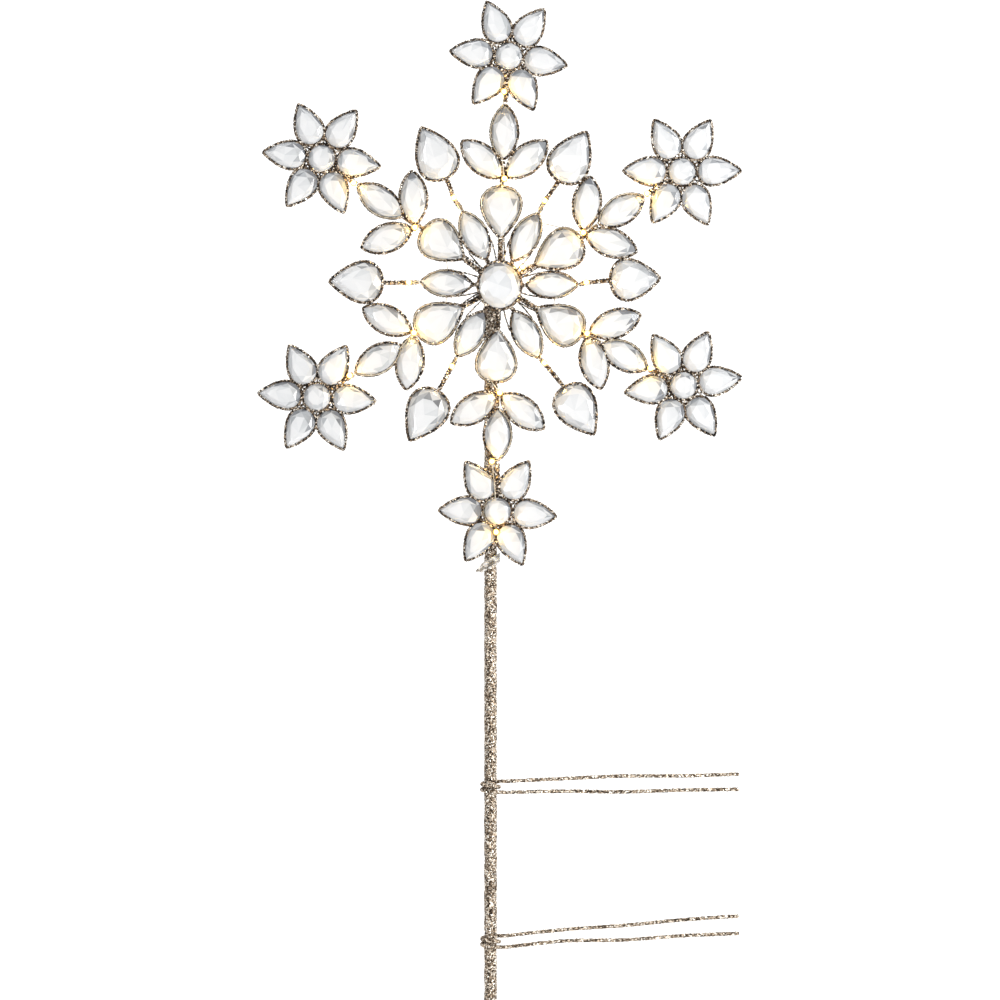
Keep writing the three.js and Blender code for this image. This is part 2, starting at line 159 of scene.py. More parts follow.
# The stem's skin: its sides, its ends drawn in, a spiral ridge, soft waves and the core behind
# the middle stone, whose rings each have a depth and a radius.
STEM_SIDES = 30
STEM_BEVEL = 0.18
STEM_BEVEL_LENGTH = 1.2
STEM_RIDGE = 0.16
STEM_RIDGE_RISE = 2.9
STEM_WAVE = 0.12
STEM_WAVE_RISE = 14
CORE_RINGS = ((2.4, 4), (1.6, 6.4), (-1, 7), (-4, 6.8), (-7, 7), (-9.6, 6.6), (-10, 4))
CORE_SIDES = 28

# The ties: steps and turns of a coil, the steps left out at each end, and the knuckle's swelling.
TIE_RADIUS = 1.4
COIL_STEPS = 90
COIL_TURNS = 2
COIL_LEAD = 3
KNUCKLE = 1.05

# The lamp string. Its route round the bottom flower's middle stone is a row of headings.
STRING_LEVEL = 11.2
STRING_RADIUS = 0.3
STRING_STEP = 1.2
BEAD_LEVEL = 12.3
BEAD_RADIUS = 2.3
BEAD_STRETCH = 1.15
BALL_RINGS = 8
BALL_SIDES = 12
ROUTE_POINTS = 40
FLOWER_ROUTE = range(100, 280, 20)
CENTRE_LAMP = (21, 38.5)
FREE_STRETCH = (54, 55.5)
LAST_LAMP = (176.3, 269.2)
LAMP_POWER = 0.011
LAMP_COLOUR = (1.0, 0.64, 0.18)
LAMP_SOFTNESS = 2
LAMP_FORWARD = 4

# The clear strap. Its outside lies over the CAD's, and the backs and fronts of its band and tail
# are depths in from that outside.
STRAP_TILT = 30
STRAP_WIDTH = 7
STRAP_RIDGE = 0.75
STRAP_SIDES = 72
STRAP_OVER = 1
STRAP_BACK, STRAP_FRONT = 2, 0.5
TAIL_BACK, TAIL_FRONT = 1.6, 0.2
TAIL_START = -2.4
TAIL_TAPER = 0.38
TAIL_STEPS = 24

# The studio. A shade has a direction, and a level of light at each closeness to it. A light has a
# place and size in metres and a power in watts. Greys are slightly cool.
STUDIO_BRIGHTNESS = 1.42
SHADES = (
    ((0.62, -0.5, 0.62), ((0.57, 1), (0.8, 0.25), (1, 0.12))),
    ((-0.66, -0.75, 0), ((0.72, 1), (0.93, 0.1), (1, 0.04))),
    ((-1, 0, 0), ((0, 1), (0.7, 0.74), (1, 0.7))),
)
COOLNESS = (1, 0.98, 0.95)
LIGHTS = (
    ("key", (1.5, -1.3, 0.9), 0.9, 34),
    ("top", (-0.2, 0.4, 1.9), 1.0, 8),
)
LIGHTS_AIM = (0, 0, 0.5)
FLOOR_RADIUS = 280
FLOOR_SIDES = 96
FLOOR_GAP = 0.5
LENS = 135
FRAMED = 718
CAMERA_SIDE = 6.8
HEADROOM = 1.5

# The arms and spokes, counterclockwise. A hub, lamp or flower has a radius and a heading from the
# flake's middle. Ends and spans are the two radii that a stone reaches between, along its heading.
# Sides are the headings of the two sideways stones at the hub, and petals those of the flower's.
ARMS = {
    "upper_right": dict(
        hub=(70.7, 32.3), pear_heading=29.8, pear_ends=(27.2, 68.2), sides=(82.7, -19.4),
        end_heading=31.8, end_span=(82.4, 122.4), flower=(153.9, 32),
        petals=(1, 61, 118, 179, 240, 296), lamp=(124.2, 32)),
    "top": dict(
        hub=(76.4, 87.4), pear_heading=88.8, pear_ends=(32, 72), sides=(138.5, 41.5),
        end_heading=88.2, end_span=(89, 131), flower=(164.3, 87.7),
        petals=(-9, 53, 112, 175, 233, 295), lamp=(138.5, 88.7)),
    "upper_left": dict(
        hub=(73.4, 145.6), pear_heading=143.2, pear_ends=(30.4, 69), sides=(200.5, 93),
        end_heading=144.6, end_span=(84, 125.5), flower=(156.6, 144.4),
        petals=(-8, 54, 113, 174, 234, 292), lamp=(127.4, 145)),
    "lower_left": dict(
        hub=(70, 209), pear_heading=210, pear_ends=(28, 69), sides=(262, 154),
        end_heading=211.2, end_span=(81, 122), flower=(153.1, 211.4),
        petals=(-4, 60, 118, 176, 239, 297), lamp=(125, 211)),
    "bottom": dict(
        hub=(76.7, 270), pear_heading=267.5, pear_ends=(29.5, 70), sides=(321, 211.5),
        end_heading=269.2, end_span=(86.6, 126.6), flower=(161.4, 269.5),
        petals=(-5, 58, 123, 179, 237, 295), lamp=(125.9, 267.5)),
    "lower_right": dict(
        hub=(71.3, 331.2), pear_heading=328.5, pear_ends=(29, 69.5), sides=(19.5, 284),
        end_heading=330.6, end_span=(83.2, 122.4), flower=(149.7, 331.5),
        petals=(8, 65, 121, 187, 246, 302), lamp=(123, 331.2)),
}
SPOKES = {
    "right": dict(marquise_heading=0.9, marquise_span=(17.6, 57.2),
                  pear_heading=2.7, pear_span=(78.4, 117), lamp=(62, 2)),
    "right_upper": dict(marquise_heading=61.8, marquise_span=(18.8, 60),
                        pear_heading=60.5, pear_span=(85, 128.5), lamp=(68.6, 62)),
    "left_upper": dict(marquise_heading=116.4, marquise_span=(19.6, 60.6),
                       pear_heading=116.3, pear_span=(84.8, 128.3), lamp=(70.6, 117.6)),
    "left": dict(marquise_heading=177.4, marquise_span=(18.2, 57.6),
                 pear_heading=178.5, pear_span=(82.8, 123.8), lamp=(65, 178.2)),
    "left_lower": dict(marquise_heading=239, marquise_span=(20, 60.2),
                       pear_heading=239.8, pear_span=(86.3, 130), lamp=(67.1, 239.5)),
    "right_lower": dict(marquise_heading=299, marquise_span=(19.4, 60.2),
                        pear_heading=302.4, pear_span=(85, 128), lamp=(64, 300)),
}
# How far each tie's strand lies above its hinge at five places along it.
TIE_RISES = {
    ("upper", "a"): (0, 1.9, 3.7, 3.9, 5.1),
    ("upper", "b"): (0, 0.8, 0.4, 1.6, 2.2),
    ("lower", "a"): (0, 4.4, 7.3, 11.3, 14.2),
    ("lower", "b"): (0, 4.4, 5.1, 8.1, 9.9),
}


# ---- Points ----
# The flake is drawn flat, seen from the front: x to the right, y up, z toward the viewer.
def polar(radius, heading):
    turn = math.radians(heading)
    return Vector((radius * math.cos(turn), radius * math.sin(turn), 0))


def raised(point, level):
    return Vector((point.x, point.y, level))


def in_frame(point):
    """A flat drawing's point in millimetres, stood up on the stem in metres."""
    return Vector((CENTRE.x + point.x * MM, -point.z * MM, CENTRE.z + point.y * MM))


def on_stem(point):
    """A point measured from the stem's lower end in millimetres, in metres."""
    return Vector((point.x * MM, point.y * MM, point.z * MM))


# ---- Outlines, counterclockwise, with a pear's point toward +x ----
def outline(stone, count):
    half, side = stone["length"] / 2, stone["width"] / 2
    points = []
    for i in range(count):
        turn = math.tau * i / count
        if stone["kind"] == "pear":
            along = half * math.cos(turn)
            along -= BLUNT * max(0, along - half + BLUNT_REACH) ** 2
            points.append((along, side * math.sin(turn) * math.sin(turn / 2) / PEAR_PEAK))
        elif stone["kind"] == "oval":
            points.append((half * math.cos(turn), side * math.sin(turn)))
        else:
            arc = (half * half + side * side) / (2 * side)
            spread = math.asin(half / arc)
            lower = -1 if 2 * i >= count else 1
            along = spread * lower * (1 - 4 * (i % (count // 2)) / count)
            points.append((arc * math.sin(along),
                           lower * (arc * math.cos(along) - arc + side)))
    return [Vector((x, y, 0)) for x, y in points]


def inset(points, distance):
    """The outline moved in by a distance, and each corner's direction inward."""
    moved, inward = [], []
    for i, corner in enumerate(points):
        before = (corner - points[i - 1]).normalized()
        after = (points[(i + 1) % len(points)] - corner).normalized()
        left = Vector((-before.y, before.x, 0))
        across = (left + Vector((-after.y, after.x, 0))).normalized()
        reach = 1 / max(across.dot(left), 0.5)
        moved.append(corner + across * distance * reach)
        inward.append(across * reach)
    return moved, inward


def evenly(points, step, closed=False):
    """The same route with points about one step apart, corners kept."""
    route = points + [points[0]] if closed else points
    result = []
    for a, b in zip(route, route[1:]):
        pieces = max(1, round((b - a).length / step))
        result += [a.lerp(b, i / pieces) for i in range(pieces)]
    return result if closed else result + [route[-1]]


def smooth(points, per_span=8):
    """A rounded route through the points."""
    ends = [points[0] * 2 - points[1], *points, points[-1] * 2 - points[-2]]
    result = []
    for a, b, c, d in zip(ends, ends[1:], ends[2:], ends[3:]):
        for i in range(per_span):
            t = i / per_span
            result.append(0.5 * (2 * b + (c - a) * t + (2 * a - 5 * b + 4 * c - d) * t * t
                                 + (3 * b - a - 3 * c + d) * t ** 3))
    return result + [points[-1]]


# ---- Mesh building ----
class Solid:
    """Corners and faces gathered in millimetres, turned into one object at the end."""

    def __init__(self, place=in_frame):
        self.corners, self.faces, self.place = [], [], place
        self.finishes, self.tones = [], []

    def add(self, corners, faces, finish=0, tone=(0, 1)):
        first = len(self.corners)
        self.corners += corners
        self.faces += [[first + i for i in face] for face in faces]
        self.finishes += [finish] * len(faces)
        self.tones += [random.uniform(*tone) for _ in faces]

    def rings(self, rings, closed=False, rough=0.0, flip=False):
        """Joins rings of corners into a skin, with a cap at each end unless closed."""
        count, total = len(rings[0]), len(rings)
        corners = []
        for ring in rings:
            middle = sum(ring, Vector()) / count
            for corner in ring:
                out = corner - middle
                reach = 1 + rough * random.uniform(-1, 1) / max(out.length, 0.1)
                corners.append(middle + out * reach)
        faces = []
        for r in range(total if closed else total - 1):
            here, there = r * count, (r + 1) % total * count
            for i in range(count):
                j = (i + 1) % count
                faces.append([here + i, here + j, there + j, there + i])
        if not closed:
            faces.append(list(range(count))[::-1])
            faces.append([(total - 1) * count + i for i in range(count)])
        if flip:
            faces = [face[::-1] for face in faces]
        self.add(corners, faces)

    def tube(self, route, radius, sides, rough=0.0):
        """A round wire along a route, drawn in at its two ends."""
        rings = []
        side = (route[1] - route[0]).orthogonal().normalized()
        for i, point in enumerate(route):
            tangent = (route[min(i + 1, len(route) - 1)] - route[max(i - 1, 0)]).normalized()
            side = (side - tangent * side.dot(tangent)).normalized()
            up = tangent.cross(side)
            size = radius * (END_SHARE if i in (0, len(route) - 1) else 1)
            rings.append([point + side * size * math.cos(turn) + up * size * math.sin(turn)
                          for turn in (math.tau * s / sides for s in range(sides))])
        self.rings(rings, rough=rough)

    def build(self, name, materials, body, replaced):
        mesh = bpy.data.meshes.new(name)
        mesh.from_pydata([self.place(corner) for corner in self.corners], [], self.faces)
        for material in materials:
            mesh.materials.append(material)
        mesh.polygons.foreach_set("material_index", self.finishes)
        tones = mesh.attributes.new("tone", "FLOAT", "FACE")
        tones.data.foreach_set("value", self.tones)
        mesh.update()
        piece = bpy.data.objects.new(name, mesh)
        bpy.context.scene.collection.objects.link(piece)
        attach(piece, body)
        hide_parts(*replaced)
        return piece


def lay(points, start, end):
    """Moves points drawn along +x onto the line from start to end."""
    turn = (end - start).normalized()
    middle = (start + end) / 2
    return [Vector((middle.x + p.x * turn.x - p.y * turn.y,
                    middle.y + p.x * turn.y + p.y * turn.x, p.z)) for p in points]


def add_bezel(solid, stone, start, end, lift=0.0):
    """A glittered wire loop round one stone, pointed where the stone is."""
    stone = dict(stone, length=(end - start).length)
    width, depth = stone["wall"] * BEZEL_ACROSS, (FRONT - BACK) * BEZEL_DEEP
    edge = outline(stone, BEZEL_POINTS)
    if stone["kind"] == "marquise":
        for tip in (0, BEZEL_POINTS // 2):
            edge[tip] = edge[tip].lerp((edge[tip - 1] + edge[tip + 1]) / 2, TIP_ROUNDING)
    line, inward = inset(evenly(edge, BEZEL_STEP, closed=True), stone["wall"] / 2)
    rings = []
    for i, (point, across) in enumerate(zip(line, inward)):
        ring = []
        for s in range(BEZEL_SIDES):
            turn = math.tau * (s + 0.5) / BEZEL_SIDES
            lobe = 1 + BEZEL_LOBE * math.cos(2 * turn + i * BEZEL_TWIST)
            ring.append(point - across * width * lobe * math.cos(turn)
                        + Vector((0, 0, MIDDLE + lift + depth * lobe * math.sin(turn))))
        rings.append(ring)
    flat = lay([corner for ring in rings for corner in ring], start, end)
    rings = [flat[i:i + BEZEL_SIDES] for i in range(0, len(flat), BEZEL_SIDES)]
    solid.rings(rings, closed=True, rough=0.3, flip=True)


def add_stone(solid, stone, start, end, lift=0.0, back_level=STONE_BACK):
    """A faceted stone: main and star facets round a flat table, over a foiled back. Its facets
    are greyer on the upper right, a painted shade."""
    stone = dict(stone, length=(end - start).length)
    count = stone["facets"]
    edge, _ = inset(outline(stone, 2 * count), stone["wall"] * GIRDLE_INSET)
    low, high = MIDDLE + GIRDLE_LOW + lift, MIDDLE + GIRDLE_HIGH + lift
    table = FRONT + stone["rise"] + lift
    shoulder = high + (table - high) * SHOULDER
    drift = Vector((-PEAR_DRIFT * stone["length"], 0, 0)) if stone["kind"] == "pear" else Vector()

    def ring(indices, scale, level, uneven=0.0):
        return [raised(edge[i] * scale * (1 + uneven * random.uniform(-1, 1))
                       + drift * (1 - scale), level + UNEVEN_LEVEL * uneven * random.uniform(-1, 1))
                for i in indices]

    even, odd = range(0, 2 * count, 2), range(1, 2 * count, 2)
    corners = (ring(even, BACK_TABLE, back_level + lift) + ring(range(2 * count), 1, low)
               + ring(range(2 * count), 1, high) + ring(odd, MID_RING, shoulder, MID_UNEVEN)
               + [raised(corner, table) for corner in ring(even, TABLE, table, TABLE_UNEVEN)]
               + [Vector((random.uniform(-1, 1) * stone["length"] * TABLE_DRIFT,
                          random.uniform(-1, 1) * stone["width"] * TABLE_DRIFT, table))])
    back, under, over, mid, top = 0, count, 3 * count, 5 * count, 6 * count
    foil, sides, mains, stars, fan = [], [], [], [], []
    for i in range(count):
        j = (i + 1) % count
        a, b, c = 2 * i, 2 * i + 1, (2 * i + 2) % (2 * count)
        before = (2 * i - 1) % (2 * count)
        foil += [[under + before, back + i, under + a], [under + a, back + i, under + b],
                 [under + b, back + i, back + j]]
        sides += [[under + a, under + b, over + b, over + a],
                  [under + b, under + c, over + c, over + b]]
        mains += [[over + a, over + b, mid + i], [over + b, over + c, mid + i],
                  [over + c, mid + j, mid + i]]
        stars += [[mid + i, mid + j, top + j], [mid + i, top + j, top + i]]
        fan.append([top + i, top + j, top + count])
    corners = lay(corners, start, end)
    for faces, finish, tone in (([list(range(count))[::-1]], 1, (0.8, 1)), (foil, 1, (0.2, 1)),
                                (sides, 0, (0.0, 0.4)), (mains, 0, (0.0, 0.8)),
                                (stars, 0, (0.2, 1)), (fan, 0, (0.6, 1))):
        first = len(solid.tones)
        solid.add(corners, faces, finish, tone)
        # Facets toward the stone's upper right get lower tones: a painted shade.
        for i, face in enumerate(faces):
            away = sum((corners[k] for k in face), Vector()) / len(face) - (start + end) / 2
            side = max(-1, min(1, (away.x + away.y) / stone["width"]))
            solid.tones[first + i] -= SHADED_SIDE * side


def wire_between(solid, start, end, radius, strands=2, pitch=PITCH, level=None):
    """Wires twisted round each other from one point to another."""
    level = MIDDLE if level is None else level
    length = (end - start).length
    steps = max(3, round(length / GRAIN))
    along = (end - start).normalized()
    across = Vector((-along.y, along.x, 0))
    offset = radius * STRAND_OFFSET if strands > 1 else 0
    for strand in range(strands):
        phase = math.tau * strand / strands
        route = []
        for i in range(steps + 1):
            share = i / steps
            turn = phase + math.tau * share * length / pitch
            route.append(raised(start.lerp(end, share), level)
                         + across * offset * math.cos(turn)
                         + Vector((0, 0, offset * math.sin(turn))))
        solid.tube(route, radius, sides=7, rough=0.28)


# ---- Materials ----
def material(name):
    made = bpy.data.materials.new(name)
    made.use_nodes = True
    nodes, links = made.node_tree.nodes, made.node_tree.links
    return made, nodes, links, nodes["Principled BSDF"]


def ramp(nodes, stops):
    made = nodes.new("ShaderNodeValToRGB")
    elements = made.color_ramp.elements
    for element, (place, colour) in zip(elements, (stops[0], stops[-1])):
        element.position, element.color = place, (*colour, 1)
    for place, colour in stops[1:-1]:
        elements.new(place).color = (*colour, 1)
    return made


def painted(nodes, links, source, stops, *targets):
    """A colour ramp over the source, into every target."""
    colours = ramp(nodes, stops)
    links.new(source, colours.inputs["Fac"])
    for target in targets:
        links.new(colours.outputs["Color"], target)


def glossed(nodes, links, source, shader, low, high):
    """Roughness between two values, following the source."""
    spread = nodes.new("ShaderNodeMapRange")
    spread.inputs["To Min"].default_value = low
    spread.inputs["To Max"].default_value = high
    links.new(source, spread.inputs["Value"])
    links.new(spread.outputs["Result"], shader.inputs["Roughness"])


def clouds(nodes, links, scale, detail=2):
    """Soft noise in the object's own space."""
    place = nodes.new("ShaderNodeTexCoord")
    cloud = nodes.new("ShaderNodeTexNoise")
    cloud.inputs["Scale"].default_value = scale
    cloud.inputs["Detail"].default_value = detail
    links.new(place.outputs["Object"], cloud.inputs["Vector"])
    return cloud.outputs["Fac"]


def mixed(nodes, links, first, second, share):
    """The first value, with a share of the second."""
    blend = nodes.new("ShaderNodeMix")
    blend.inputs["Factor"].default_value = share
    links.new(first, blend.inputs["A"])
    links.new(second, blend.inputs["B"])
    return blend.outputs["Result"]


def vector_step(nodes, links, operation, source, constant=None):
    """One step of vector arithmetic on the source."""
    step = nodes.new("ShaderNodeVectorMath")
    step.operation = operation
    links.new(source, step.inputs[0])
    if constant is not None:
        step.inputs[1].default_value = constant
    return step


def glitter(name, stops, grain):
    """Flakes of glitter: each cell has its own colour, gloss and tilt."""
    made, nodes, links, shader = material(name)
    place = nodes.new("ShaderNodeTexCoord")
    cells = nodes.new("ShaderNodeTexVoronoi")
    cells.inputs["Scale"].default_value = 1 / (grain * MM)
    links.new(place.outputs["Object"], cells.inputs["Vector"])
    split = nodes.new("ShaderNodeSeparateColor")
    links.new(cells.outputs["Color"], split.inputs["Color"])
    painted(nodes, links, split.outputs["Red"], stops, shader.inputs["Base Color"])
    glossed(nodes, links, split.outputs["Green"], shader, 0.18, 0.6)
    surface = nodes.new("ShaderNodeNewGeometry")
    level = vector_step(nodes, links, "SUBTRACT", surface.outputs["Normal"],
                        (FLAKE_TILT / 2,) * 3)
    tilt = vector_step(nodes, links, "MULTIPLY_ADD", cells.outputs["Color"], (FLAKE_TILT,) * 3)
    links.new(level.outputs["Vector"], tilt.inputs[2])
    unit = vector_step(nodes, links, "NORMALIZE", tilt.outputs["Vector"])
    links.new(unit.outputs["Vector"], shader.inputs["Normal"])
    shader.inputs["Metallic"].default_value = 0.55
    return made


def facet_shade(nodes, links):
    """Each face's tone, random and with a painted shade on a stone's upper right, a little cloudy
    within it, and the clouds alone.
    """
    tone = nodes.new("ShaderNodeAttribute")
    tone.attribute_name = "tone"
    cloud = clouds(nodes, links, 160, detail=3)
    return mixed(nodes, links, tone.outputs["Fac"], cloud, 0.18), cloud


def clear_acrylic():
    made, nodes, links, shader = material("clear_acrylic")
    shade, cloud = facet_shade(nodes, links)
    stops = [(0.08, (0.27, 0.28, 0.3)), (0.28, (0.56, 0.58, 0.6)), (0.48, (0.84, 0.855, 0.865)),
             (0.7, (0.96, 0.965, 0.97)), (0.85, (1, 1, 1))]
    painted(nodes, links, shade, stops, shader.inputs["Base Color"])
    glossed(nodes, links, cloud, shader, 0.02, 0.09)
    shader.inputs["Transmission Weight"].default_value = 0.35
    shader.inputs["IOR"].default_value = 1.49
    return made


def silver_foil():
    made, nodes, links, shader = material("silver_foil")
    shade, cloud = facet_shade(nodes, links)
    stops = [(0.1, (0.3, 0.31, 0.33)), (0.45, (0.6, 0.61, 0.63)), (0.8, (0.86, 0.865, 0.87))]
    painted(nodes, links, shade, stops, shader.inputs["Base Color"])
    glossed(nodes, links, cloud, shader, 0.1, 0.3)
    shader.inputs["Metallic"].default_value = 1.0
    return made


def lamp_resin():
    """Amber round the sides and nearly white at the ends that face front and back."""
    made, nodes, links, shader = material("lamp_resin")
    surface = nodes.new("ShaderNodeNewGeometry")
    split = nodes.new("ShaderNodeSeparateXYZ")
    links.new(surface.outputs["Normal"], split.inputs["Vector"])
    facing = nodes.new("ShaderNodeMath")
    facing.operation = "ABSOLUTE"
    links.new(split.outputs["Y"], facing.inputs[0])
    shade = mixed(nodes, links, facing.outputs["Value"], clouds(nodes, links, 500), 0.2)
    stops = [(0.15, (0.9, 0.4, 0.05)), (0.6, (1.0, 0.62, 0.16)), (0.82, (1.0, 0.9, 0.6))]
    painted(nodes, links, shade, stops, shader.inputs["Base Color"],
            shader.inputs["Emission Color"])
    shader.inputs["Emission Strength"].default_value = 1.2
    shader.inputs["Roughness"].default_value = 0.25
    return made


def lamp_wire():
    made, nodes, links, shader = material("lamp_wire")
    stops = [(0.3, (0.5, 0.42, 0.3)), (0.7, (0.82, 0.74, 0.58))]
    painted(nodes, links, clouds(nodes, links, 300), stops, shader.inputs["Base Color"])
    shader.inputs["Metallic"].default_value = 0.9
    shader.inputs["Roughness"].default_value = 0.3
    return made


def clear_nylon():
    made, nodes, links, shader = material("clear_nylon")
    stops = [(0.36, (0.2, 0.17, 0.13)), (0.46, (0.46, 0.42, 0.36)), (0.56, (0.9, 0.87, 0.83))]
    painted(nodes, links, clouds(nodes, links, 400), stops, shader.inputs["Base Color"])
    shader.inputs["Transmission Weight"].default_value = 0.3
    shader.inputs["Roughness"].default_value = 0.28
    shader.inputs["IOR"].default_value = 1.53
    return made


WIRE_GLITTER = glitter("wire_glitter", [
    (0.0, (0.006, 0.004, 0.003)), (0.36, (0.022, 0.014, 0.009)), (0.56, (0.12, 0.078, 0.046)),
    (0.75, (0.38, 0.28, 0.19)), (0.9, (0.85, 0.76, 0.64)), (1.0, (1.0, 0.97, 0.9))], 0.95)
STEM_GLITTER = glitter("stem_glitter", [
    (0.0, (0.014, 0.008, 0.004)), (0.25, (0.07, 0.045, 0.025)), (0.5, (0.25, 0.18, 0.12)),
    (0.72, (0.58, 0.46, 0.34)), (0.86, (0.92, 0.82, 0.68)), (1.0, (1.0, 0.97, 0.9))], 0.85)
STONE = [clear_acrylic(), silver_foil()]
LAMP = [lamp_resin(), lamp_wire()]
NYLON = clear_nylon()


# ---- The flake ----
def ends(span, heading):
    return [polar(radius, heading) for radius in span]


def loose_wire(solid, points):
    """A thin single wire on a rounded route."""
    route = smooth([raised(p, MIDDLE) for p in points])
    solid.tube(evenly(route, GRAIN), LOOSE_WIRE, 7, rough=0.2)


def add_root_wires(solid, heading, start):
    """The rope from the core to an arm's pear, with one thin wire beside it."""
    inner = polar(CORE_EDGE, heading)
    across = polar(1, heading - 90)
    wire_between(solid, inner, start, ROPE, pitch=TIGHT_PITCH)
    near, halfway, far = (across * aside for aside in ROOT_LOOSE)
    loose_wire(solid, [inner + near, inner.lerp(start, 0.6) + halfway,
                       start + polar(WIRE_LAP, heading) + far])


def add_arm(name, arm):
    hub = polar(*arm["hub"])
    tip, end = ends(arm["pear_ends"], arm["pear_heading"])
    sides = [(hub + polar(SIDE_START, h), hub + polar(SIDE_START + ARM_MARQUISE["length"], h))
             for h in arm["sides"]]
    far = ends(arm["end_span"], arm["end_heading"])

    wires = Solid()
    add_bezel(wires, INNER_PEAR, end, tip)
    for start, stop in [*sides, far]:
        add_bezel(wires, ARM_MARQUISE, start, stop)
    add_root_wires(wires, arm["pear_heading"], tip + polar(ROPE_LAP, arm["pear_heading"]))
    wire_between(wires, end, far[0], END_ROPE, pitch=TIGHT_PITCH)
    for heading in arm["sides"]:
        wire_between(wires, hub - polar(HUB_BACK, heading), hub + polar(HUB_REACH, heading),
                     TWIG, 1)
    wires.build(f"arm_wires_{name}", [WIRE_GLITTER], "root", [f"arm_frame_{name}"])

    pear = Solid()
    add_stone(pear, INNER_PEAR, end, tip)
    pear.build(f"inner_pear_stone_{name}", STONE, "root", [f"inner_pear_jewel_{name}"])
    trio = Solid()
    for start, stop in [*sides, far]:
        add_stone(trio, ARM_MARQUISE, start, stop)
    trio.build(f"arm_marquise_stones_{name}", STONE, "root", [f"arm_marquise_jewels_{name}"])
    add_flower(name, arm, far[1])


def add_flower(name, arm, arm_end):
    centre = polar(*arm["flower"])
    half = Vector((FLOWER_ROUND["length"] / 2, 0, 0))
    petals = [(centre + polar(PETAL_START, h), centre + polar(PETAL_START + PETAL["length"], h))
              for h in arm["petals"]]
    inward = (arm_end - centre).normalized()
    wires = Solid()
    add_bezel(wires, FLOWER_ROUND, centre - half, centre + half)
    for start, stop in petals:
        add_bezel(wires, PETAL, start, stop)
    wire_between(wires, arm_end - inward * ARM_LAP, centre + inward * (half.x - JOINT_LAP), ROPE)
    for i, heading in enumerate(arm["petals"]):
        following = arm["petals"][(i + 1) % 6] + (360 if i == 5 else 0)
        gap = (heading + following) / 2
        middle = centre + polar(JOINT_MIDDLE, gap)
        for side in (heading, following):
            joint = centre + polar(JOINT_END, gap + (side - gap) * JOINT_SPREAD)
            wire_between(wires, middle, joint, JOINT_WIRE, 1, level=MIDDLE - JOINT_SINK)
        wire_between(wires, centre + polar(half.x - JOINT_LAP, gap), middle, JOINT_WIRE, 1,
                     level=MIDDLE - JOINT_SINK)
    wires.build(f"flower_wires_{name}", [WIRE_GLITTER], "root", [f"flower_frame_{name}"])
    stones = Solid()
    add_stone(stones, FLOWER_ROUND, centre - half, centre + half)
    for start, stop in petals:
        add_stone(stones, PETAL, start, stop)
    stones.build(f"flower_stones_{name}", STONE, "root", [f"flower_jewels_{name}"])


def add_spoke(name, spoke):
    start, end = ends(spoke["marquise_span"], spoke["marquise_heading"])
    pear_end, pear_tip = ends(spoke["pear_span"], spoke["pear_heading"])
    lamp = polar(*spoke["lamp"])
    wires = Solid()
    add_bezel(wires, INNER_MARQUISE, start, end)
    add_bezel(wires, OUTER_PEAR, pear_end, pear_tip)
    heading = spoke["marquise_heading"]
    wire_between(wires, polar(CORE_EDGE, heading), start + polar(WIRE_LAP, heading), TWIG,
                 pitch=SPOKE_PITCH)
    for side in (-1, 1):
        loose_wire(wires, [polar(radius, heading + aside * side)
                           for radius, aside in SPOKE_LOOSE])
    wire_between(wires, end, lamp, TWIG, pitch=TIGHT_PITCH)
    wire_between(wires, lamp, pear_end, TWIG, pitch=TIGHT_PITCH)
    wires.build(f"spoke_wires_{name}", [WIRE_GLITTER], "root", [f"spoke_frame_{name}"])
    for label, shape, a, b, node in (
            ("inner_marquise", INNER_MARQUISE, start, end, "inner_marquise_jewel"),
            ("outer_pear", OUTER_PEAR, pear_end, pear_tip, "outer_pear_jewel")):
        stone = Solid()
        add_stone(stone, shape, a, b)
        stone.build(f"{label}_stone_{name}", STONE, "root", [f"{node}_{name}"])


def add_centre():
    half = Vector((0, CENTRE_OVAL["length"] / 2, 0))
    wires = Solid()
    add_bezel(wires, CENTRE_OVAL, -half, half, CENTRE_LIFT)
    wires.build("centre_wire", [WIRE_GLITTER], "root", ["centre_bezel"])
    stone = Solid()
    add_stone(stone, CENTRE_OVAL, -half, half, CENTRE_LIFT, BACK)
    stone.build("centre_stone", STONE, "root", ["centre_jewel"])


# ---- The lamp string ----
def bezel_side(stone, start, end, side):
    """The middle line of one side of a bezel, from its start to its end."""
    stone = dict(stone, length=(end - start).length)
    line, _ = inset(outline(stone, ROUTE_POINTS), stone["wall"] / 2)
    kept = sorted((p for p in line if p.y * side > 0.5), key=lambda p: p.x)
    return lay(kept, start, end)


def hub_to_spoke(arm, spoke, side):
    """Along the inner pear's bezel as far as the spoke's marquise, then along that."""
    tip, end = ends(arm["pear_ends"], arm["pear_heading"])
    start, stop = ends(spoke["marquise_span"], spoke["marquise_heading"])
    pear = bezel_side(INNER_PEAR, end, tip, side)
    marquise = bezel_side(INNER_MARQUISE, start, stop, side)
    _, i, j = min(((a - b).length, i, j) for i, a in enumerate(pear)
                  for j, b in enumerate(marquise))
    return [polar(*arm["hub"]), *pear[:i + 1], *marquise[j:], polar(*spoke["lamp"])]


def lamp_places():
    lamps = [arm[key] for arm in ARMS.values() for key in ("hub", "lamp")]
    lamps += [spoke["lamp"] for spoke in SPOKES.values()] + [CENTRE_LAMP, LAST_LAMP]
    return [polar(*place) for place in lamps]


def add_ball(solid, middle, radius, stretch=1.0):
    """A rounded drop, stretched along z."""
    rings = []
    for i in range(1, BALL_RINGS):
        turn = math.pi * i / BALL_RINGS
        reach = radius * math.sin(turn)
        rings.append([middle + Vector((reach * math.cos(a), reach * math.sin(a),
                                       -radius * stretch * math.cos(turn)))
                      for a in (math.tau * s / BALL_SIDES for s in range(BALL_SIDES))])
    solid.rings(rings)


